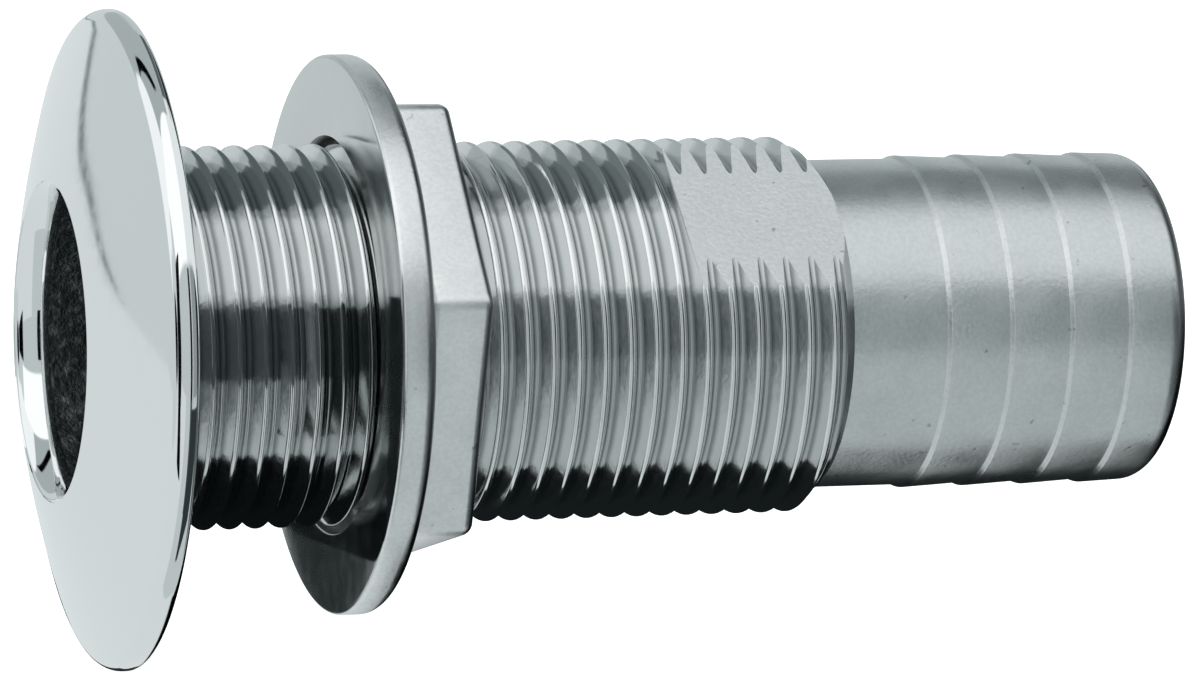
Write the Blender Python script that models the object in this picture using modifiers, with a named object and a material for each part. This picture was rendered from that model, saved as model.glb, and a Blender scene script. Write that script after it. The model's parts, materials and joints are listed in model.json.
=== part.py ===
"""Straight through-hull fitting with a hose tail, and the flanged hex nut that clamps it to a hull.

Every piece is turned about one axis, so each is modelled about its own Z and hangs from one empty
that lays this Z along world +X. The origin is the centre of the head's seat, the ring that bears on
the hull: the domed head lies towards -X and the hose tail towards +X.
"""

import math

import bmesh
import bpy
from mathutils import Matrix, Vector

MM = 0.001
TURNED_STEPS = 48
THREAD_STEPS = 24

# Pipe thread G1: 11 threads to the inch, right-handed
PITCH = 25.4 / 11 * MM
CREST_R = 33.25 / 2 * MM
ROOT_R = 30.29 / 2 * MM
FLANK_ANGLE = math.radians(27.5)
THREAD_END = 59.8 * MM
THREAD_CHAMFER_R = 13.5 * MM
THREAD_START = -0.9 * MM
THREAD_CORE_R = 14.2 * MM
CUTTER_SPARE = 3 * MM  # how far a cutter stands past what it cuts

# Head
HEAD_R = 28.5 * MM
RIM_BACK_ROUNDING = 0.5 * MM
RIM_STRAIGHT = 0.3 * MM
RIM_FRONT_ROUNDING = 1.5 * MM
RIM_END_ANGLE = math.radians(71)  # how far the front rounding turns before the dome takes over
DOME_RISE = 6.25 * MM
DOME_POWER = 1.5
DOME_POINTS = 9
LIP_WIDTH = 1.6 * MM
LIP_DEPTH = 2.8 * MM
LIP_ARC = math.radians(80)
BORE_R = 12.5 * MM

# Hose tail
TAIL_R = 14.5 * MM
TAIL_END = 93.3 * MM
TAIL_ROUNDING = 2.0 * MM
TAIL_OVERLAP = 0.3 * MM
BARB_STEP = 0.27 * MM
BARB_FACE = 0.25 * MM
BARB_STARTS = [x * MM for x in (70.5, 76.3, 81.9, 87.4)]

# Wrench flats on the thread, the upper one turned to FLAT_ANGLE above -Y
FLAT_DISTANCE = 14.3 * MM
FLAT_START = 46.5 * MM
FLAT_RAMP = 1.2 * MM
FLAT_CUTTER_WIDTH = 30 * MM
FLAT_CUTTER_REACH = 6 * MM
FLAT_ANGLE = math.radians(46.5)

# Nut
FLANGE_R = 24.35 * MM
FLANGE_START = 18.45 * MM
FLANGE_END = 21.6 * MM
FLANGE_HOLE_R = 17.3 * MM
FLANGE_FRONT_ROUNDING = 0.4 * MM
FLANGE_BACK_ROUNDING = 1.2 * MM
HEX_ACROSS_FLATS = 37.4 * MM
HEX_END = 27.6 * MM
HEX_ROUNDING = 1.0 * MM
HEX_CORNER_ANGLE = math.radians(11)
PIECE_GAP = 0.3 * MM
THREAD_RADIAL_GAP = 0.3 * MM
THREAD_AXIAL_GAP = 0.25 * MM
LEAD_IN = 0.6 * MM


def clear_scene():
    for obj in list(bpy.data.objects):
        bpy.data.objects.remove(obj, do_unlink=True)


def new_collection(name):
    collection = bpy.data.collections.new(name)
    bpy.context.scene.collection.children.link(collection)
    return collection


def metal(name, colour, roughness):
    material = bpy.data.materials.new(name)
    material.use_nodes = True
    shader = material.node_tree.nodes["Principled BSDF"]
    shader.inputs["Base Color"].default_value = (*colour, 1.0)
    shader.inputs["Metallic"].default_value = 1.0
    shader.inputs["Roughness"].default_value = roughness
    return material


def axis_empty(collection):
    """The empty that turns every piece's own Z to world +X."""
    empty = bpy.data.objects.new("fitting_axis", None)
    empty.rotation_euler = (0.0, math.pi / 2, 0.0)
    collection.objects.link(empty)
    return empty


def add_object(name, mesh, collection, parent):
    obj = bpy.data.objects.new(name, mesh)
    collection.objects.link(obj)
    obj.parent = parent
    return obj


def arc(centre_r, centre_z, radius, start, end, points):
    """Points (r, z) on an arc in the profile plane; the angles are in degrees from +r towards +z."""
    found = []
    for i in range(points):
        angle = math.radians(start + (end - start) * i / (points - 1))
        found.append((centre_r + radius * math.cos(angle), centre_z + radius * math.sin(angle)))
    return found


def profile_mesh(name, profile, closed=False):
    mesh = bpy.data.meshes.new(name)
    edges = [(i, i + 1) for i in range(len(profile) - 1)]
    if closed:
        edges.append((len(profile) - 1, 0))
    mesh.from_pydata([(r, 0.0, z) for r, z in profile], edges, [])
    return mesh


def add_screw(obj, steps, turns=1, offset=0.0):
    screw = obj.modifiers.new("Turn", "SCREW")
    screw.axis = "Z"
    screw.steps = steps
    screw.render_steps = steps
    screw.iterations = turns
    screw.screw_offset = offset
    screw.use_merge_vertices = turns == 1
    screw.merge_threshold = 1e-6


def turned(name, profile, collection, parent, steps=TURNED_STEPS, closed=False):
    """A turned solid. The profile lists (r, z) down its outer side, from top to bottom."""
    obj = add_object(name, profile_mesh(name, profile, closed), collection, parent)
    add_screw(obj, steps)
    return obj


def evaluated_mesh(obj):
    graph = bpy.context.evaluated_depsgraph_get()
    return bpy.data.meshes.new_from_object(obj.evaluated_get(graph))


def thread_profile(radial_gap=0.0, axial_gap=0.0):
    """One pitch of thread, whose crest is centred on z = 0, from the root above it to the root below."""
    depth = CREST_R - ROOT_R
    slope = math.tan(FLANK_ANGLE)
    crest_half = (PITCH / 2 - depth * slope) / 2
    crest_half_here = crest_half + axial_gap - radial_gap * slope
    root_half_here = crest_half_here + depth * slope
    crest_r = CREST_R + radial_gap
    root_r = ROOT_R + radial_gap
    return [
        (root_r, root_half_here),
        (crest_r, crest_half_here),
        (crest_r, -crest_half_here),
        (root_r, -root_half_here),
        (root_r, root_half_here - PITCH),
    ]


def cap_with_cone(mesh_edit, loop_edges, tip_z):
    """Closes one end of a screw surface with a fan of triangles to a point on the axis."""
    tip = mesh_edit.verts.new((0.0, 0.0, tip_z))
    for edge in loop_edges:
        mesh_edit.faces.new((edge.verts[0], edge.verts[1], tip))


def thread_rod(name, first_pitch, turns, collection, parent, radial_gap=0.0, axial_gap=0.0):
    """A closed threaded rod. A crest passes the +X side of its own frame at each whole pitch."""
    profile = [(r, z + first_pitch * PITCH) for r, z in thread_profile(radial_gap, axial_gap)]
    guide = add_object(name, profile_mesh(name, profile), collection, parent)
    add_screw(guide, THREAD_STEPS, turns, PITCH)
    mesh = evaluated_mesh(guide)
    guide.modifiers.clear()
    edit = bmesh.new()
    edit.from_mesh(mesh)
    bmesh.ops.remove_doubles(edit, verts=edit.verts, dist=1e-6)
    open_edges = [edge for edge in edit.edges if edge.is_boundary]
    middle_z = (first_pitch + turns / 2) * PITCH
    lower = [e for e in open_edges if (e.verts[0].co.z + e.verts[1].co.z) / 2 < middle_z]
    upper = [e for e in open_edges if (e.verts[0].co.z + e.verts[1].co.z) / 2 > middle_z]
    cap_with_cone(edit, lower, (first_pitch - 3) * PITCH)
    cap_with_cone(edit, upper, (first_pitch + turns + 3) * PITCH)
    bmesh.ops.recalc_face_normals(edit, faces=edit.faces)
    edit.to_mesh(mesh)
    edit.free()
    guide.data = mesh
    return guide


def add_boolean(obj, other, operation):
    boolean = obj.modifiers.new(f"{operation.title()} {other.name}", "BOOLEAN")
    boolean.operation = operation
    boolean.solver = "EXACT"
    boolean.object = other


def hide_cutters(collection):
    for obj in collection.objects:
        obj.hide_render = True
        obj.display_type = "WIRE"


def rim_end():
    """(r, z) where the rim's front rounding meets the dome."""
    radius = HEAD_R - RIM_FRONT_ROUNDING * (1 - math.cos(RIM_END_ANGLE))
    return radius, -RIM_BACK_ROUNDING - RIM_STRAIGHT - RIM_FRONT_ROUNDING * math.sin(RIM_END_ANGLE)


def dome_z(radius):
    """The dome's height at this radius: negative, since it stands towards -Z."""
    end_r, end_z = rim_end()
    return end_z - DOME_RISE * (1 - (radius / end_r) ** DOME_POWER)


def rim_points():
    """The rim's outline from the seat round to the dome."""
    back, front = RIM_BACK_ROUNDING, RIM_FRONT_ROUNDING
    return arc(HEAD_R - back, -back, back, 90, 0, 4) + arc(
        HEAD_R - front, -back - RIM_STRAIGHT, front, 0, -math.degrees(RIM_END_ANGLE), 6
    )


def head_and_tail_profile():
    """The body without its thread, from the tail's end down to the dome's middle."""
    outline = [(0.0, TAIL_END)]
    outline += arc(TAIL_R + BARB_STEP / 2 - TAIL_ROUNDING, TAIL_END - TAIL_ROUNDING, TAIL_ROUNDING, 90, 0, 6)
    for start in reversed(BARB_STARTS):
        outline.append((TAIL_R + BARB_STEP, start + BARB_FACE))
        outline.append((TAIL_R, start))
    outline += [(TAIL_R, THREAD_END + TAIL_OVERLAP), (THREAD_CORE_R, THREAD_END)]
    outline += [(THREAD_CORE_R, -THREAD_START), (ROOT_R - TAIL_OVERLAP, 0.0)]
    outline += rim_points()
    end_r = rim_end()[0]
    for i in range(1, DOME_POINTS + 1):
        radius = end_r * (1 - i / DOME_POINTS)
        outline.append((radius, dome_z(radius)))
    return outline


def bore_profile():
    """The water way: a straight bore whose mouth in the dome is rounded."""
    past_tail = TAIL_END + CUTTER_SPARE
    mouth_r = BORE_R + LIP_WIDTH
    face_z = dome_z(mouth_r)
    past_face = face_z - CUTTER_SPARE
    outline = [(0.0, past_tail), (BORE_R, past_tail)]
    for i in range(6):
        angle = LIP_ARC * i / 5
        outline.append((mouth_r - LIP_WIDTH * math.cos(angle), face_z + LIP_DEPTH * (1 - math.sin(angle))))
    outline += [(mouth_r + LIP_WIDTH / 2, past_face), (0.0, past_face)]
    return outline


def thread_envelope_profile():
    """What bounds the thread: wide of its crests, with a 45 degree chamfer at the tail end."""
    wide_r = CREST_R + CUTTER_SPARE
    end = THREAD_END + CREST_R
    return [
        (0.0, end - THREAD_CHAMFER_R),
        (THREAD_CHAMFER_R, end - THREAD_CHAMFER_R),
        (wide_r, end - wide_r),
        (wide_r, THREAD_START),
        (0.0, THREAD_START),
    ]


def flat_cutter(name, angle, collection, parent):
    """A block whose lower face cuts one wrench flat, with a ramp where the flat runs out."""
    top = FLAT_DISTANCE + FLAT_CUTTER_REACH
    end = THREAD_END + CREST_R - TAIL_R
    side = [
        (FLAT_DISTANCE, end),
        (FLAT_DISTANCE, FLAT_START + FLAT_RAMP),
        (CREST_R, FLAT_START),
        (top, FLAT_START),
        (top, end),
    ]
    mesh = bpy.data.meshes.new(name)
    edit = bmesh.new()
    outline = [edit.verts.new((x, -FLAT_CUTTER_WIDTH / 2, z)) for x, z in side]
    face = edit.faces.new(outline)
    swept = bmesh.ops.extrude_face_region(edit, geom=[face])
    moved = [item for item in swept["geom"] if isinstance(item, bmesh.types.BMVert)]
    bmesh.ops.translate(edit, verts=moved, vec=Vector((0.0, FLAT_CUTTER_WIDTH, 0.0)))
    bmesh.ops.recalc_face_normals(edit, faces=edit.faces)
    edit.to_mesh(mesh)
    edit.free()
    cutter = add_object(name, mesh, collection, parent)
    cutter.rotation_euler = (0.0, 0.0, angle)
    return cutter


def make_body(parts, cutters, parent, material):
    turns = math.ceil(THREAD_END / PITCH) + 4
    body = thread_rod("thru_hull_body", -1, turns, parts, parent)
    envelope = turned("thread_envelope", thread_envelope_profile(), cutters, parent)
    envelope.rotation_euler = (0.0, 0.0, math.radians(2.0))
    blank = turned("head_and_tail_blank", head_and_tail_profile(), cutters, parent)
    blank.rotation_euler = (0.0, 0.0, math.radians(1.0))
    bore = turned("bore_cutter", bore_profile(), cutters, parent)
    add_boolean(body, envelope, "INTERSECT")
    add_boolean(body, blank, "UNION")
    add_boolean(body, bore, "DIFFERENCE")
    upper_angle = -math.pi / 2 - FLAT_ANGLE
    for name, angle in (("upper_flat_cutter", upper_angle), ("lower_flat_cutter", upper_angle + math.pi)):
        add_boolean(body, flat_cutter(name, angle, cutters, parent), "DIFFERENCE")
    body.data.materials.append(material)
    return body


def make_nut_flange(parts, parent, material):
    outline = arc(
        FLANGE_R - FLANGE_BACK_ROUNDING, FLANGE_END - FLANGE_BACK_ROUNDING, FLANGE_BACK_ROUNDING, 90, 0, 5
    )
    outline += arc(
        FLANGE_R - FLANGE_FRONT_ROUNDING, FLANGE_START + FLANGE_FRONT_ROUNDING, FLANGE_FRONT_ROUNDING, 0, -90, 3
    )
    outline += [(FLANGE_HOLE_R, FLANGE_START), (FLANGE_HOLE_R, FLANGE_END)]
    flange = turned("nut_flange", outline, parts, parent, closed=True)
    flange.data.materials.append(material)
    return flange


def hex_mesh():
    """The nut's hexagon, with every edge rounded."""
    start = FLANGE_END + PIECE_GAP
    mesh = bpy.data.meshes.new("nut_hex")
    edit = bmesh.new()
    corner_r = HEX_ACROSS_FLATS / 2 / math.cos(math.pi / 6)
    bmesh.ops.create_cone(
        edit, cap_ends=True, segments=6, radius1=corner_r, radius2=corner_r, depth=HEX_END - start
    )
    edit.verts.ensure_lookup_table()
    corner = edit.verts[0].co
    turn = -math.pi / 2 - HEX_CORNER_ANGLE - math.atan2(corner.y, corner.x)
    bmesh.ops.rotate(edit, verts=edit.verts, cent=Vector(), matrix=Matrix.Rotation(turn, 3, "Z"))
    bmesh.ops.translate(edit, verts=edit.verts, vec=Vector((0.0, 0.0, (HEX_END + start) / 2)))
    bmesh.ops.bevel(edit, geom=edit.edges[:], offset=HEX_ROUNDING, segments=3, profile=0.5, affect="EDGES")
    bmesh.ops.recalc_face_normals(edit, faces=edit.faces)
    edit.to_mesh(mesh)
    edit.free()
    return mesh


def lead_in_profile():
    """Two cones that open the nut's thread at both faces."""
    start = FLANGE_END + PIECE_GAP
    wide_r = CREST_R + LEAD_IN
    narrow_r = ROOT_R - LEAD_IN
    middle = (start + HEX_END) / 2
    past = LEAD_IN
    return [
        (0.0, HEX_END + past),
        (wide_r + past, HEX_END + past),
        (narrow_r, HEX_END - (wide_r - narrow_r)),
        (narrow_r, middle),
        (narrow_r, start + (wide_r - narrow_r)),
        (wide_r + past, start - past),
        (0.0, start - past),
    ]


def make_nut_hex(parts, cutters, parent, material):
    nut = add_object("nut_hex", hex_mesh(), parts, parent)
    first_pitch = math.floor(FLANGE_END / PITCH) - 1
    thread = thread_rod(
        "nut_thread_cutter", first_pitch, 6, cutters, parent, THREAD_RADIAL_GAP, THREAD_AXIAL_GAP
    )
    add_boolean(nut, thread, "DIFFERENCE")
    add_boolean(nut, turned("lead_in_cutter", lead_in_profile(), cutters, parent), "DIFFERENCE")
    nut.data.materials.append(material)
    return nut


def shade(obj):
    obj.data.shade_smooth()
    obj.data.set_sharp_from_angle(angle=math.radians(35))


def main():
    clear_scene()
    parts = new_collection("thru_hull_fitting")
    cutters = new_collection("cutters")
    parent = axis_empty(parts)
    polished = metal("polished_stainless", (0.78, 0.80, 0.80), 0.08)
    cast = metal("cast_stainless", (0.66, 0.69, 0.69), 0.30)
    pieces = [
        make_body(parts, cutters, parent, polished),
        make_nut_flange(parts, parent, cast),
        make_nut_hex(parts, cutters, parent, cast),
    ]
    for piece in pieces:
        shade(piece)
    hide_cutters(cutters)


main()
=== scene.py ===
"""Looks for the thru-hull fitting: fine meshes around the frame, procedural metals, a studio and a camera."""

import json
import math

import bmesh
import bpy
from mathutils import Matrix, Vector

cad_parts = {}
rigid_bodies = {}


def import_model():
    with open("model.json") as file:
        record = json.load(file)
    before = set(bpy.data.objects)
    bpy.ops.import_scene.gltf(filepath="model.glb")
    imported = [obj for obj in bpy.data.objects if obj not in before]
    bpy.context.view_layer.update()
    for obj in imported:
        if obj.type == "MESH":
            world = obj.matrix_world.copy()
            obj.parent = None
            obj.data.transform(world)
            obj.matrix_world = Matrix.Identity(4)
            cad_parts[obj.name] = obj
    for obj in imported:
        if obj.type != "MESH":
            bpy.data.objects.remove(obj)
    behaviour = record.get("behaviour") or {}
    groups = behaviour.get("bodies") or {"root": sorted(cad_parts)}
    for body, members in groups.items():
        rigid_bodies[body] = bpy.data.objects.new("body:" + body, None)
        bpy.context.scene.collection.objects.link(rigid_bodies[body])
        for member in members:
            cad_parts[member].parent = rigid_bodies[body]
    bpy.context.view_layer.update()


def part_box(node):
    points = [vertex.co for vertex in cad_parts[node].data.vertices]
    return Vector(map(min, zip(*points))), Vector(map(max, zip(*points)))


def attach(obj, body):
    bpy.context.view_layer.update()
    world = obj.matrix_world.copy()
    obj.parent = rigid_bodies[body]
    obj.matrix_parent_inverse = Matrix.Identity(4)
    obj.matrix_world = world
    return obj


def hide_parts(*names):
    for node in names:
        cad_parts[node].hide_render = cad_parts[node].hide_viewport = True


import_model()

MM = 0.001
AXIS_TURN = Matrix.Rotation(math.pi / 2, 4, "Y")  # pieces are made about Z, and the fitting lies along +X
MERGE_DISTANCE = 0.001 * MM
SHARP_ANGLE = math.radians(32)  # edges that turn more than this stay sharp in the shading

# Measures taken from the frame: the seat is at x = 0
BODY_LOW, BODY_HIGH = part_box("thru_hull_body")
FLANGE_LOW, FLANGE_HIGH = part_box("nut_flange")
HEX_LOW, HEX_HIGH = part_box("nut_hex")
HEAD_R = -BODY_LOW.z
TAIL_END = BODY_HIGH.x
FLANGE_R = -FLANGE_LOW.z

# Pipe thread G1
PITCH = 25.4 / 11 * MM
CREST_R = 33.25 / 2 * MM
THREAD_DEPTH = 0.640327 * PITCH
THREAD_ROUNDING = 0.137329 * PITCH
FLANK_ANGLE = math.radians(27.5)
ROOT_R = CREST_R - THREAD_DEPTH
THREAD_START = -0.9 * MM
THREAD_END = 59.8 * MM
THREAD_CHAMFER_R = 13.5 * MM
THREAD_CORE_R = 14.2 * MM
THREAD_STEPS = 96
CONE_PITCHES = 3  # how far the cones that close a threaded rod reach past it
CUTTER_SPARE = 3 * MM  # how far a cutter stands past what it cuts

# Head
RIM_BACK_ROUNDING = 0.5 * MM
RIM_STRAIGHT = 0.3 * MM
RIM_FRONT_ROUNDING = 1.5 * MM
RIM_END_ANGLE = math.radians(71)  # how far the front rounding turns before the dome takes over
DOME_RISE = 6.25 * MM
DOME_POWER = 1.5
DOME_POINTS = 40
LIP_WIDTH = 1.6 * MM
LIP_DEPTH = 2.8 * MM
LIP_ARC = math.radians(80)
LIP_POINTS = 16
BORE_R = 12.5 * MM
HEAD_STEPS = 256

# Hose tail
TAIL_R = 14.5 * MM
TAIL_ROUNDING = 2.0 * MM
TAIL_CONE = 1.0 * MM  # where the tail narrows into the thread's core
BARB_STEP = 0.27 * MM
BARB_FACE = 0.25 * MM
BARB_ROUNDING = 0.15 * MM
TAIL_STEPS = 192
BARB_STARTS = [x * MM for x in (70.5, 76.3, 81.9, 87.4)]

# Wrench flats
FLAT_DISTANCE = 14.3 * MM
FLAT_START = 46.5 * MM
FLAT_RAMP = 1.2 * MM
FLAT_ANGLE = math.radians(46.5)
FLAT_CUTTER_WIDTH = 30 * MM
FLAT_CUTTER_REACH = 6 * MM

# Nut
FLANGE_HOLE_R = 17.3 * MM
HEX_ACROSS_FLATS = 37.4 * MM
FLANGE_FRONT_ROUNDING = 0.4 * MM
FLANGE_BACK_ROUNDING = 1.2 * MM
FLANGE_HOLE_ROUNDING = 0.12 * MM
HEX_ROUNDING = 1.0 * MM
HEX_CORNER_ANGLE = math.radians(11)
LEAD_IN = 0.6 * MM
THREAD_GAP = 0.1 * MM
NUT_THREAD_TURNS = 6
CREASE_CLOSING = 0.2 * MM  # the finished hexagon comes this much nearer to the flange than its solid


# ---------------------------------------------------------------- mesh helpers


def collection_named(name):
    collection = bpy.data.collections.new(name)
    bpy.context.scene.collection.children.link(collection)
    return collection


PIECES = collection_named("thru_hull_fitting")
CUTTERS = collection_named("cutters")


def add_object(name, data, collection):
    obj = bpy.data.objects.new(name, data)
    collection.objects.link(obj)
    return obj


def arc(centre_r, centre_z, radius, start, end, points):
    """Points (r, z) on an arc in the profile plane; the angles are in degrees from +r towards +z."""
    found = []
    for i in range(points):
        angle = math.radians(start + (end - start) * i / (points - 1))
        found.append((centre_r + radius * math.cos(angle), centre_z + radius * math.sin(angle)))
    return found


def profile_mesh(name, profile, closed=False):
    mesh = bpy.data.meshes.new(name)
    edges = [(i, i + 1) for i in range(len(profile) - 1)]
    if closed:
        edges.append((len(profile) - 1, 0))
    mesh.from_pydata([(r, 0.0, z) for r, z in profile], edges, [])
    return mesh


def evaluated_mesh(obj):
    graph = bpy.context.evaluated_depsgraph_get()
    return bpy.data.meshes.new_from_object(obj.evaluated_get(graph))


def turned(name, profile, steps, material, turns=1, offset=0.0, closed=False, phase=0.0):
    """A turned or threaded surface about Z, whose profile lists (r, z) down its outer side.

    The phase turns it a little, so that the vertices of two blanks never coincide.
    """
    obj = add_object(name, profile_mesh(name, profile, closed), CUTTERS)
    screw = obj.modifiers.new("Turn", "SCREW")
    screw.axis = "Z"
    screw.steps = steps
    screw.render_steps = steps
    screw.iterations = turns
    screw.screw_offset = offset
    screw.use_merge_vertices = turns == 1
    screw.merge_threshold = MERGE_DISTANCE
    mesh = evaluated_mesh(obj)
    obj.modifiers.clear()
    obj.data = mesh
    mesh.transform(Matrix.Rotation(phase, 4, "Z"))
    mesh.materials.append(material)
    return obj


def add_boolean(obj, other, operation):
    boolean = obj.modifiers.new(f"{operation.title()} {other.name}", "BOOLEAN")
    boolean.operation = operation
    boolean.solver = "EXACT"
    boolean.material_mode = "TRANSFER"
    boolean.object = other


def settle(obj, name):
    """Applies the modifiers, lays the piece along +X, shades it smooth and files it with the pieces."""
    mesh = evaluated_mesh(obj)
    mesh.name = name
    mesh.transform(AXIS_TURN)
    mesh.shade_smooth()
    mesh.set_sharp_from_angle(angle=SHARP_ANGLE)
    return add_object(name, mesh, PIECES)


def paint(mesh, material, chosen):
    """Gives the polygons whose centre is chosen another material."""
    mesh.materials.append(material)
    for polygon in mesh.polygons:
        if chosen(polygon.center):
            polygon.material_index = len(mesh.materials) - 1


def shade_flat(mesh, material):
    """Turns off smooth shading on the polygons that have this material, so a plane stays plane."""
    for polygon in mesh.polygons:
        if mesh.materials[polygon.material_index] == material:
            polygon.use_smooth = False


def clear_cutters():
    for obj in list(CUTTERS.objects):
        bpy.data.objects.remove(obj, do_unlink=True)
    bpy.data.collections.remove(CUTTERS)


# ---------------------------------------------------------------- thread


def whitworth_profile(radial_gap=0.0, points=5):
    """One pitch of rounded thread with its crest at z = 0, from the root above it to the root below."""
    round_r = THREAD_ROUNDING
    tangent = math.degrees(math.pi / 2 - FLANK_ANGLE)
    crest_centre = CREST_R + radial_gap - round_r
    root_centre = ROOT_R + radial_gap + round_r
    upper_root = arc(root_centre, PITCH / 2, round_r, 180, 180 + tangent, points)
    crest = arc(crest_centre, 0.0, round_r, tangent, -tangent, 2 * points - 1)
    lower_root = arc(root_centre, -PITCH / 2, round_r, 180 - tangent, 180, points)
    return upper_root + crest + lower_root


def cap_with_cone(mesh_edit, loop_edges, tip_z):
    """Closes one end of a screw surface with a fan of triangles to a point on the axis."""
    tip = mesh_edit.verts.new((0.0, 0.0, tip_z))
    for edge in loop_edges:
        mesh_edit.faces.new((edge.verts[0], edge.verts[1], tip))


def thread_rod(name, first_pitch, turns, material, radial_gap=0.0):
    """A closed threaded rod. A crest passes the +X side of its own frame at each whole pitch."""
    profile = [(r, z + first_pitch * PITCH) for r, z in whitworth_profile(radial_gap)]
    rod = turned(name, profile, THREAD_STEPS, material, turns, PITCH)
    edit = bmesh.new()
    edit.from_mesh(rod.data)
    bmesh.ops.remove_doubles(edit, verts=edit.verts, dist=MERGE_DISTANCE)
    open_edges = [edge for edge in edit.edges if edge.is_boundary]
    middle_z = (first_pitch + turns / 2) * PITCH
    lower = [e for e in open_edges if (e.verts[0].co.z + e.verts[1].co.z) / 2 < middle_z]
    upper = [e for e in open_edges if (e.verts[0].co.z + e.verts[1].co.z) / 2 > middle_z]
    cap_with_cone(edit, lower, (first_pitch - CONE_PITCHES) * PITCH)
    cap_with_cone(edit, upper, (first_pitch + turns + CONE_PITCHES) * PITCH)
    bmesh.ops.recalc_face_normals(edit, faces=edit.faces)
    edit.to_mesh(rod.data)
    edit.free()
    return rod


# ---------------------------------------------------------------- body


def rim_end():
    """(r, z) where the rim's front rounding meets the dome."""
    radius = HEAD_R - RIM_FRONT_ROUNDING * (1 - math.cos(RIM_END_ANGLE))
    return radius, -RIM_BACK_ROUNDING - RIM_STRAIGHT - RIM_FRONT_ROUNDING * math.sin(RIM_END_ANGLE)


def dome_z(radius):
    """The dome's height at this radius: negative, since it stands towards -Z."""
    end_r, end_z = rim_end()
    return end_z - DOME_RISE * (1 - (radius / end_r) ** DOME_POWER)


def head_profile():
    """The head, from inside the thread's first turns round its rim and over the dome to the axis."""
    back, front = RIM_BACK_ROUNDING, RIM_FRONT_ROUNDING
    outline = [(0.0, -THREAD_START), (THREAD_CORE_R, -THREAD_START), (ROOT_R, 0.0)]
    outline += arc(HEAD_R - back, -back, back, 90, 0, 7)
    outline += arc(HEAD_R - front, -back - RIM_STRAIGHT, front, 0, -math.degrees(RIM_END_ANGLE), 15)
    end_r = rim_end()[0]
    for i in range(1, DOME_POINTS + 1):
        radius = end_r * (1 - i / DOME_POINTS)
        outline.append((radius, dome_z(radius)))
    return outline


def tail_profile():
    """The hose tail with its shallow ridges, from its rounded end down into the thread."""
    outline = [(0.0, TAIL_END)]
    end_r = TAIL_R + BARB_STEP / 2 - TAIL_ROUNDING
    outline += arc(end_r, TAIL_END - TAIL_ROUNDING, TAIL_ROUNDING, 90, 0, 12)
    for start in reversed(BARB_STARTS):
        tip_r = TAIL_R + BARB_STEP
        outline += arc(tip_r - BARB_ROUNDING, start + BARB_FACE + BARB_ROUNDING, BARB_ROUNDING, 0, -50, 4)
        outline += [(TAIL_R, start), (TAIL_R, start - BARB_FACE)]
    outline += [(TAIL_R, THREAD_END + TAIL_CONE), (THREAD_CORE_R, THREAD_END)]
    outline += [(THREAD_CORE_R, -THREAD_START / 2), (0.0, -THREAD_START / 2)]
    return outline


def bore_cutter(wall, lip):
    """The water way: a straight bore whose mouth in the dome is rounded and polished."""
    past_tail = TAIL_END + CUTTER_SPARE
    mouth_r = BORE_R + LIP_WIDTH
    face_z = dome_z(mouth_r)
    past_face = face_z - CUTTER_SPARE
    outline = [(0.0, past_tail), (BORE_R, past_tail)]
    for i in range(LIP_POINTS + 1):
        angle = LIP_ARC * i / LIP_POINTS
        lip_z = face_z + LIP_DEPTH * (1 - math.sin(angle))
        outline.append((mouth_r - LIP_WIDTH * math.cos(angle), lip_z))
    outline += [(mouth_r + LIP_WIDTH / 2, past_face), (0.0, past_face)]
    cutter = turned("bore_cutter", outline, HEAD_STEPS, wall)
    paint(cutter.data, lip, lambda centre: centre.z < face_z + LIP_DEPTH)
    return cutter


def thread_envelope_profile():
    """What bounds the thread: wide of its crests, with a 45 degree chamfer at the tail end."""
    wide_r = CREST_R + CUTTER_SPARE
    end = THREAD_END + CREST_R
    return [
        (0.0, end - THREAD_CHAMFER_R),
        (THREAD_CHAMFER_R, end - THREAD_CHAMFER_R),
        (wide_r, end - wide_r),
        (wide_r, THREAD_START),
        (0.0, THREAD_START),
    ]


def flat_cutter(name, angle, material):
    """A block whose lower face cuts one wrench flat, with a ramp where the flat runs out."""
    top = FLAT_DISTANCE + FLAT_CUTTER_REACH
    end = THREAD_END + CREST_R - TAIL_R
    side = [
        (FLAT_DISTANCE, end),
        (FLAT_DISTANCE, FLAT_START + FLAT_RAMP),
        (CREST_R, FLAT_START),
        (top, FLAT_START),
        (top, end),
    ]
    mesh = bpy.data.meshes.new(name)
    edit = bmesh.new()
    face = edit.faces.new([edit.verts.new((x, -FLAT_CUTTER_WIDTH / 2, z)) for x, z in side])
    swept = bmesh.ops.extrude_face_region(edit, geom=[face])
    moved = [item for item in swept["geom"] if isinstance(item, bmesh.types.BMVert)]
    bmesh.ops.translate(edit, verts=moved, vec=Vector((0.0, FLAT_CUTTER_WIDTH, 0.0)))
    bmesh.ops.recalc_face_normals(edit, faces=edit.faces)
    edit.to_mesh(mesh)
    edit.free()
    mesh.transform(Matrix.Rotation(angle, 4, "Z"))
    mesh.materials.append(material)
    return add_object(name, mesh, CUTTERS)


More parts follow.
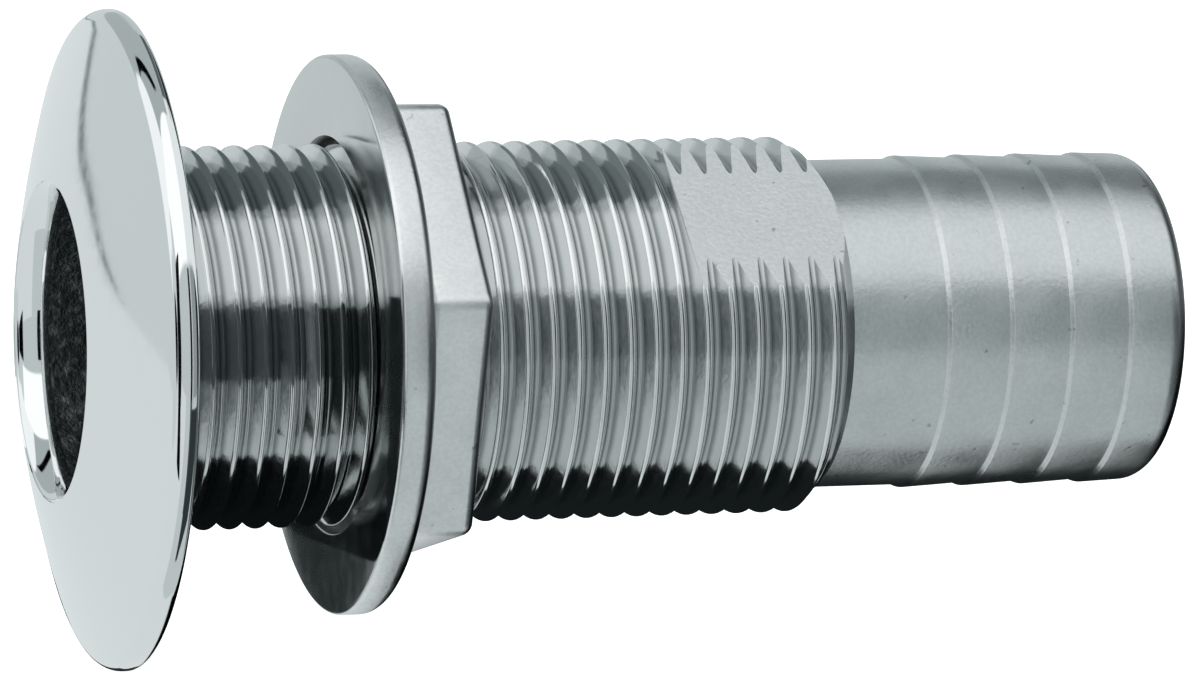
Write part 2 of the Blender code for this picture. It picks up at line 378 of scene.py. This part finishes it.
def make_body(polished, machined, tail, flat, rough):
    turns = math.ceil(THREAD_END / PITCH) + 4
    body = thread_rod("thread_rod", -1, turns, machined)
    envelope = turned("thread_envelope", thread_envelope_profile(), HEAD_STEPS, machined, phase=0.01)
    add_boolean(body, envelope, "INTERSECT")
    add_boolean(body, turned("tail_blank", tail_profile(), TAIL_STEPS, tail, phase=0.02), "UNION")
    add_boolean(body, turned("head_blank", head_profile(), HEAD_STEPS, polished, phase=0.03), "UNION")
    add_boolean(body, bore_cutter(rough, polished), "DIFFERENCE")
    upper_angle = -math.pi / 2 - FLAT_ANGLE
    for name, angle in (("upper_flat_cutter", upper_angle), ("lower_flat_cutter", upper_angle + math.pi)):
        add_boolean(body, flat_cutter(name, angle, flat), "DIFFERENCE")
    piece = settle(body, "fitting_body_finish")
    shade_flat(piece.data, flat)
    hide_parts("thru_hull_body")
    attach(piece, "fitting_body")


# ---------------------------------------------------------------- nut


def make_nut_flange(front_face, cast):
    start, end = FLANGE_LOW.x, FLANGE_HIGH.x
    back, front, hole = FLANGE_BACK_ROUNDING, FLANGE_FRONT_ROUNDING, FLANGE_HOLE_ROUNDING
    outline = arc(FLANGE_R - back, end - back, back, 90, 0, 10)
    outline += arc(FLANGE_R - front, start + front, front, 0, -90, 6)
    outline += arc(FLANGE_HOLE_R + hole, start + hole, hole, -90, -180, 5)
    outline += [(FLANGE_HOLE_R, end)]
    flange = turned("flange_turning", outline, HEAD_STEPS, cast, closed=True)
    paint(flange.data, front_face, lambda centre: centre.z < start + hole / 2)
    piece = settle(flange, "nut_flange_finish")
    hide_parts("nut_flange")
    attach(piece, "nut_carriage")


def hex_prism(material):
    """The nut's hexagon, with every edge rounded."""
    start, end = HEX_LOW.x - CREASE_CLOSING, HEX_HIGH.x
    mesh = bpy.data.meshes.new("hex_prism")
    edit = bmesh.new()
    corner_r = HEX_ACROSS_FLATS / 2 / math.cos(math.pi / 6)
    sizes = {"radius1": corner_r, "radius2": corner_r, "depth": end - start}
    bmesh.ops.create_cone(edit, cap_ends=True, segments=6, **sizes)
    edit.verts.ensure_lookup_table()
    corner = edit.verts[0].co
    turn = -math.pi / 2 - HEX_CORNER_ANGLE - math.atan2(corner.y, corner.x)
    bmesh.ops.rotate(edit, verts=edit.verts, cent=Vector(), matrix=Matrix.Rotation(turn, 3, "Z"))
    bmesh.ops.translate(edit, verts=edit.verts, vec=Vector((0.0, 0.0, (end + start) / 2)))
    bmesh.ops.bevel(edit, geom=edit.edges[:], offset=HEX_ROUNDING, segments=8, profile=0.5, affect="EDGES")
    bmesh.ops.recalc_face_normals(edit, faces=edit.faces)
    edit.to_mesh(mesh)
    edit.free()
    mesh.materials.append(material)
    return add_object("hex_prism", mesh, CUTTERS)


def lead_in_profile():
    """Two cones that open the nut's thread at both faces."""
    start, end = HEX_LOW.x - CREASE_CLOSING, HEX_HIGH.x
    wide_r = CREST_R + LEAD_IN
    narrow_r = ROOT_R - LEAD_IN
    past = LEAD_IN
    return [
        (0.0, end + past),
        (wide_r + past, end + past),
        (narrow_r, end - (wide_r - narrow_r)),
        (narrow_r, start + (wide_r - narrow_r)),
        (wide_r + past, start - past),
        (0.0, start - past),
    ]


def make_nut_hex(cast, machined):
    nut = hex_prism(cast)
    first_pitch = math.floor(FLANGE_HIGH.x / PITCH) - 1
    thread = thread_rod("nut_thread", first_pitch, NUT_THREAD_TURNS, machined, THREAD_GAP)
    add_boolean(nut, thread, "DIFFERENCE")
    add_boolean(nut, turned("lead_in", lead_in_profile(), TAIL_STEPS, machined, phase=0.01), "DIFFERENCE")
    piece = settle(nut, "nut_hex_finish")
    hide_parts("nut_hex")
    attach(piece, "nut")


# ---------------------------------------------------------------- node helpers


class Graph:
    """A node tree with short calls for the nodes that the materials and the studio share."""

    def __init__(self, owner):
        owner.use_nodes = True
        self.tree = owner.node_tree
        self.tree.nodes.clear()

    def node(self, kind, settings=None, **inputs):
        made = self.tree.nodes.new(kind)
        for key, value in (settings or {}).items():
            setattr(made, key, value)
        for key, value in inputs.items():
            self.feed(made.inputs[key.replace("_", " ")], value)
        return made

    def feed(self, socket, value):
        if isinstance(value, bpy.types.NodeSocket):
            self.tree.links.new(value, socket)
        else:
            socket.default_value = value

    def math(self, operation, *values):
        made = self.tree.nodes.new("ShaderNodeMath")
        made.operation = operation
        for socket, value in zip(made.inputs, values):
            self.feed(socket, value)
        return made.outputs[0]

    def smooth(self, value, start, end, low=0.0, high=1.0):
        """low before start, high after end, with a smooth step between."""
        made = self.node("ShaderNodeMapRange", {"interpolation_type": "SMOOTHSTEP"}, Value=value)
        for key, number in (("From Min", start), ("From Max", end), ("To Min", low), ("To Max", high)):
            self.feed(made.inputs[key], number)
        return made.outputs["Result"]

    def band(self, value, start, end, soft):
        """1 between start and end, falling to 0 over soft at both ends."""
        rise = self.smooth(value, start - soft / 2, start + soft / 2)
        fall = self.smooth(value, end - soft / 2, end + soft / 2, 1.0, 0.0)
        return self.math("MULTIPLY", rise, fall)

    def mix(self, share, first, second):
        made = self.tree.nodes.new("ShaderNodeMix")
        made.data_type = "RGBA"
        self.feed(made.inputs[0], share)
        self.feed(made.inputs[6], first)
        self.feed(made.inputs[7], second)
        return made.outputs[2]

    def noise(self, vector, scale, detail=2.0, roughness=0.5):
        settings = {"Vector": vector, "Scale": scale, "Detail": detail, "Roughness": roughness}
        return self.node("ShaderNodeTexNoise", **settings).outputs[0]

    def bump(self, height, distance, strength):
        return self.node("ShaderNodeBump", Height=height, Distance=distance, Strength=strength).outputs[0]

    def finish(self, shader, kind="Material"):
        """Joins the shader to the output of a material or a world."""
        output = self.node(f"ShaderNodeOutput{kind}")
        self.tree.links.new(shader.outputs[0], output.inputs["Surface"])


def grey(level):
    """A linear colour from an sRGB level of 0 to 255. The darker it is, the more cyan the light makes it."""
    red = level * (0.98 - 0.11 * (1 - level / 255))
    return ((red / 255) ** 2.2, (level / 255) ** 2.2, ((level + 1) / 255) ** 2.2, 1.0)


# ---------------------------------------------------------------- materials


def metal(name, colour, build):
    """A metal whose base colour, roughness and normal come from build(graph, object coordinates, colour)."""
    material = bpy.data.materials.new(name)
    graph = Graph(material)
    place = graph.node("ShaderNodeTexCoord").outputs["Object"]
    base, roughness, normal = build(graph, place, colour)
    inputs = {"Base_Color": base, "Roughness": roughness, "Normal": normal}
    graph.finish(graph.node("ShaderNodeBsdfPrincipled", Metallic=1.0, **inputs))
    return material


def axis_distance(graph, place):
    """How far a point is from the fitting's axis."""
    split = graph.node("ShaderNodeSeparateXYZ", Vector=place)
    across = graph.node("ShaderNodeCombineXYZ", Y=split.outputs["Y"], Z=split.outputs["Z"])
    length = graph.node("ShaderNodeVectorMath", {"operation": "LENGTH"}, Vector=across.outputs[0])
    return length.outputs["Value"]


def polished_head(graph, place, colour):
    """Mirror polish with the faint waves that a buffing wheel leaves."""
    waves = graph.noise(place, 40.0, 1.0, 0.4)
    haze = graph.smooth(graph.noise(place, 900.0, 4.0), 0.3, 0.8, 0.04, 0.09)
    return colour, haze, graph.bump(waves, 0.02 * MM, 0.3)


def machined_thread(graph, place, colour):
    """Turned metal: bright crests over roots painted dark as shade, with small nicks."""
    wander = graph.math("MULTIPLY", graph.noise(place, 420.0, 3.0), 0.15 * MM)
    depth = graph.math("ADD", axis_distance(graph, place), wander)
    # painted shade: the base colour darkens towards the thread's roots
    out_of_root_shade = graph.smooth(depth, ROOT_R + 0.05 * MM, ROOT_R + 0.75 * MM)
    base = graph.mix(out_of_root_shade, ROOT_SHADE_STEEL, colour)
    nicks = graph.smooth(graph.noise(place, 420.0, 4.0, 0.6), 0.72, 0.78, 0.0, 0.6)
    base = graph.mix(nicks, base, NICK_STEEL)
    roughness = graph.smooth(graph.noise(place, 700.0, 3.0), 0.3, 0.8, 0.10, 0.18)
    return base, roughness, graph.bump(graph.noise(place, 1600.0, 3.0), 0.02 * MM, 0.4)


def cast_skin(graph, place, colour):
    """Satin investment casting: fine pebbles, a few pits, and painted shade that darkens the edges turning
    towards +X.
    """
    pebbles = graph.noise(place, 2600.0, 2.0, 0.5)
    swell = graph.noise(place, 260.0, 2.0)
    pits = graph.smooth(graph.noise(place, 800.0, 2.0, 0.5), 0.70, 0.78)
    height = graph.math("ADD", graph.math("MULTIPLY", swell, 0.6), pebbles)
    height = graph.math("SUBTRACT", height, graph.math("MULTIPLY", pits, 0.6))
    base = graph.mix(graph.smooth(pebbles, 0.35, 0.65, 0.0, 0.08), colour, NICK_STEEL)
    base = graph.mix(graph.math("MULTIPLY", pits, 0.5), base, NICK_STEEL)
    # painted shade: surfaces that turn towards +X get a near-black colour
    facing = graph.node("ShaderNodeSeparateXYZ", Vector=graph.node("ShaderNodeTexCoord").outputs["Normal"])
    edge = graph.math("MULTIPLY", graph.band(facing.outputs["X"], 0.4, 0.85, 0.3), 0.9)
    base = graph.mix(edge, base, BACK_FACING_SHADE_STEEL)
    roughness = graph.smooth(swell, 0.3, 0.7, 0.27, 0.36)
    return base, roughness, graph.bump(height, 0.03 * MM, 0.5)


def turned_flange(graph, place, colour):
    """A turned face: fine rings about the axis."""
    rings = graph.node("ShaderNodeCombineXYZ", X=axis_distance(graph, place))
    grooves = graph.noise(rings.outputs[0], 3500.0, 3.0, 0.6)
    roughness = graph.smooth(graph.noise(place, 500.0, 3.0), 0.3, 0.8, 0.16, 0.22)
    return colour, roughness, graph.bump(grooves, 0.006 * MM, 0.5)


def bore_wall(graph, place, colour):
    """The rough wall of the water way, painted dark as shade inside the bore."""
    grain = graph.noise(place, 900.0, 4.0, 0.6)
    base = graph.mix(graph.smooth(grain, 0.45, 0.75), BORE_SHADE, colour)
    return base, 0.45, graph.bump(grain, 0.25 * MM, 0.9)


STEEL = (0.775, 0.785, 0.785, 1.0)
HEAD_STEEL = (0.83, 0.84, 0.84, 1.0)
# darker steel that paints shade into the thread's roots
ROOT_SHADE_STEEL = (0.45, 0.47, 0.47, 1.0)
CAST_STEEL = (0.82, 0.83, 0.83, 1.0)
TAIL_STEEL = (0.68, 0.70, 0.70, 1.0)
# near-black steel that paints shade on the edges turning towards +X
BACK_FACING_SHADE_STEEL = (0.05, 0.06, 0.06, 1.0)
# darker steel for the nut flange's turned front face: painted shade
SHADED_FACE_STEEL = (0.58, 0.60, 0.60, 1.0)
NICK_STEEL = (0.12, 0.14, 0.14, 1.0)
# dark steel inside the bore: painted shade
BORE_SHADED_STEEL = (0.34, 0.36, 0.36, 1.0)
BORE_SHADE = (0.10, 0.11, 0.11, 1.0)


# ---------------------------------------------------------------- studio

# Each card is a patch of the studio round the fitting, and a later card covers an earlier one.
# A card is (level, lift from, lift to, side from, side to, softness). Lift is the angle about X above
# the -Y horizon, and side the angle towards +X. Both are in degrees.
CARDS = [
    (12, -179, -97, 17, 90, 2),  # black under the back
    (206, -95, -16, -25, 34.3, 1.5),  # light in front, low
    (100, -90, -16, 34.3, 75, 1.5),  # dark on the right, low
    (205, -16, 30, -57, 14, 1),  # gap between the lights, left
    (12, -30, 25, -80, -57, 2),  # slit in front of the rim
    (12, -181, 181, -90, -82, 1),  # end of the slit
    (155, -16, 30, 14, 34.5, 1),  # gap between the lights, right
    (100, -16, 30, 34.5, 38.8, 1),  # gap between the lights, next
    (30, -16, 30, 38.8, 75, 1),  # gap between the lights, far right
    (246, 30, 96, 8, 90, 5),  # light in front, high
    (278, 30, 88, -62, 8, 3),  # light in front, high left
    (66, 97, 137, 14.3, 16, 0.6),  # dark ceiling, left
    (92, 97, 137, 16, 19.5, 1),  # dark ceiling, middle
    (150, 88, 139, 19.5, 24, 2),  # dark ceiling, right
    (50, 98, 137, 24, 75, 2),  # dark ceiling, far right
    (182, 88, 161, -37, 14.3, 1),  # grey ceiling, left
    (262, 85, 163, -75, -37, 3),  # strip light
    (205, 139, 165, 11, 90, 8),  # backdrop above
]

# A black card over the head. It leans: its middle moves sideways as the lift grows.
SLASH_LEVEL = 8
SLASH_LIFT = (99, 132, 3)
SLASH_SIDE = (-22.5, -12.5, 2)
SLASH_MIDDLE = 115
SLASH_LEAN = 0.83

# The table and the backdrop behind the fitting meet in a thin dark line, the horizon. It stands in
# degrees above the +Y horizon, and turns down beyond a side angle.
BACKDROP_LEVEL = 215
TABLE_LEVEL = 228
LINE_LEVEL = 120
LINE_SHARE = 0.85
LINE_START = (-48, -42)
HORIZON = 7.3
BEND_START = -28
BEND_RATE = 0.00878
BEND_POWER = 2.37


def make_studio():
    world = bpy.data.worlds.new("studio")
    bpy.context.scene.world = world
    graph = Graph(world)
    direction = graph.node("ShaderNodeTexCoord").outputs["Generated"]
    split = graph.node("ShaderNodeSeparateXYZ", Vector=direction)
    x, y, z = (split.outputs[axis] for axis in "XYZ")
    lift = graph.math("DEGREES", graph.math("ARCTAN2", z, graph.math("MULTIPLY", y, -1.0)))
    side = graph.math("DEGREES", graph.math("ARCSINE", x))
    back = graph.math("DEGREES", graph.math("ARCTAN2", z, y))
    light = add_horizon(graph, back, side)
    for level, low, high, left, right, soft in CARDS:
        mask = graph.math("MULTIPLY", graph.band(lift, low, high, soft), graph.band(side, left, right, soft))
        light = graph.mix(mask, light, grey(level))
    lean = graph.math("MULTIPLY", graph.math("SUBTRACT", lift, SLASH_MIDDLE), SLASH_LEAN)
    slash = graph.band(graph.math("ADD", side, lean), *SLASH_SIDE)
    slash = graph.math("MULTIPLY", graph.band(lift, *SLASH_LIFT), slash)
    light = graph.mix(slash, light, grey(SLASH_LEVEL))
    graph.finish(graph.node("ShaderNodeBackground", Color=light, Strength=1.0), "World")


def add_horizon(graph, back, side):
    """The table behind is a little lighter than the backdrop, with a thin dark line along its edge."""
    past_start = graph.math("MAXIMUM", graph.math("SUBTRACT", BEND_START, side), 0.0)
    bend = graph.math("MULTIPLY", graph.math("POWER", past_start, BEND_POWER), BEND_RATE)
    above = graph.math("SUBTRACT", graph.math("ADD", back, bend), HORIZON)
    light = graph.mix(graph.smooth(above, -0.5, 0.5), grey(TABLE_LEVEL), grey(BACKDROP_LEVEL))
    fade = graph.smooth(side, *LINE_START, 0.0, LINE_SHARE)
    line = graph.math("MULTIPLY", graph.band(above, -0.35, 0.35, 0.5), fade)
    return graph.mix(line, light, grey(LINE_LEVEL))


# Small dark cards near the fitting, which only reflections see: painted shade, standing in for the shade
# under and round the fitting. They stay where they are when the nut moves: (name, level, one corner, the
# opposite corner), in mm.
FLAGS = [
    ("flag_under_left_thread", 24, (1.5, -13.3, -18.5), (17.8, 40, -18.5)),
    ("flag_under_right_thread", 34, (28, -9, -18.5), (62, 40, -18.5)),
    ("flag_under_tail", 40, (62, -4, -17.5), (99, 40, -17.5)),
    ("flag_behind_nut", 48, (0, 30, -45), (16, 30, -15)),
    ("flag_before_left_thread", 74, (0.3, -25, -7.4), (17.4, -25, 8)),
    ("flag_on_flange_face", 38, (14.6, -17.3, -17), (17.8, -17.3, 4.5)),
    ("flag_over_left_thread", 102, (0.5, -9.2, 17.2), (17.4, -1.2, 17.2)),
    ("flag_over_right_thread", 124, (32.5, -9.2, 17.2), (45.5, -1.2, 17.2)),
    ("flag_near_left_thread_low", 60, (1, -40, -90), (11, -40, -7.8)),
    ("flag_far_left_thread", 20, (3.5, -120, -30), (18, -120, 58)),
    ("flag_far_left_thread_low", 85, (3.5, -120, -160), (18, -120, -30)),
    ("flag_for_bore", 20, (-13.4, -30, -14), (-5.5, -30, 12)),
]


def make_flags():
    for name, level, (x0, y0, z0), (x1, y1, z1) in FLAGS:
        mesh = bpy.data.meshes.new(name)
        corners = [(x0, y0, z0), (x1, y0, z0), (x1, y1, z1), (x0, y1, z1)]
        mesh.from_pydata([Vector(corner) * MM for corner in corners], [], [(0, 1, 2, 3)])
        material = bpy.data.materials.new(name)
        graph = Graph(material)
        # the card glows dark grey: painted shade in reflections
        graph.finish(graph.node("ShaderNodeEmission", Color=grey(level), Strength=1.0))
        mesh.materials.append(material)
        flag = add_object(name, mesh, bpy.context.scene.collection)
        flag.visible_camera = False
        flag.visible_diffuse = False
        flag.visible_shadow = False


FLOOR_SIZE = 6.0
FLOOR_GAP = 0.2 * MM  # between the floor and the head's lowest point
FLOOR_WHITE = (0.9, 0.9, 0.9, 1.0)
FLOOR_GLOW = 0.85


def make_floor():
    mesh = bpy.data.meshes.new("floor")
    edit = bmesh.new()
    bmesh.ops.create_grid(edit, x_segments=1, y_segments=1, size=FLOOR_SIZE / 2)
    bmesh.ops.translate(edit, verts=edit.verts, vec=Vector((0.0, 0.0, BODY_LOW.z - FLOOR_GAP)))
    edit.to_mesh(mesh)
    edit.free()
    floor = add_object("floor", mesh, bpy.context.scene.collection)
    material = bpy.data.materials.new("white_table")
    graph = Graph(material)
    shader = graph.node("ShaderNodeBsdfPrincipled", Base_Color=FLOOR_WHITE, Roughness=0.9)
    graph.feed(shader.inputs["Specular IOR Level"], 0.0)
    graph.feed(shader.inputs["Emission Color"], (1.0, 1.0, 1.0, 1.0))
    graph.feed(shader.inputs["Emission Strength"], FLOOR_GLOW)
    graph.finish(shader)
    mesh.materials.append(material)
    floor.visible_glossy = False


# ---------------------------------------------------------------- camera

CAMERA_TURN = math.radians(17.4)  # from -Y towards -X
CAMERA_LIFT = math.radians(4.5)
CAMERA_DISTANCE = 650 * MM
CAMERA_AIM = Vector((43.3 * MM, 0.0, -1.2 * MM))
CAMERA_LENS = 222


def make_camera():
    data = bpy.data.cameras.new("camera")
    data.sensor_width = 36
    data.lens = CAMERA_LENS
    data.clip_start = 0.01
    camera = add_object("camera", data, bpy.context.scene.collection)
    level = math.cos(CAMERA_LIFT)
    towards = Vector((-math.sin(CAMERA_TURN) * level, -math.cos(CAMERA_TURN) * level, math.sin(CAMERA_LIFT)))
    camera.location = CAMERA_AIM + towards * CAMERA_DISTANCE
    camera.rotation_euler = towards.to_track_quat("Z", "Y").to_euler()
    bpy.context.scene.camera = camera


# ---------------------------------------------------------------- scene


def main():
    polished = metal("polished_steel", HEAD_STEEL, polished_head)
    machined = metal("machined_steel", STEEL, machined_thread)
    cast = metal("cast_steel", CAST_STEEL, cast_skin)
    # the flange's front face gets a darker steel: painted shade
    flange = metal("turned_steel", SHADED_FACE_STEEL, turned_flange)
    flat = metal("flat_steel", CAST_STEEL, cast_skin)
    tail = metal("tail_steel", TAIL_STEEL, cast_skin)
    rough = metal("bore_shaded_steel", BORE_SHADED_STEEL, bore_wall)
    make_body(polished, machined, tail, flat, rough)
    make_nut_flange(flange, cast)
    make_nut_hex(cast, machined)
    clear_cutters()
    make_studio()
    make_floor()
    make_flags()
    make_camera()
    bpy.context.scene.view_settings.view_transform = "Standard"


main()
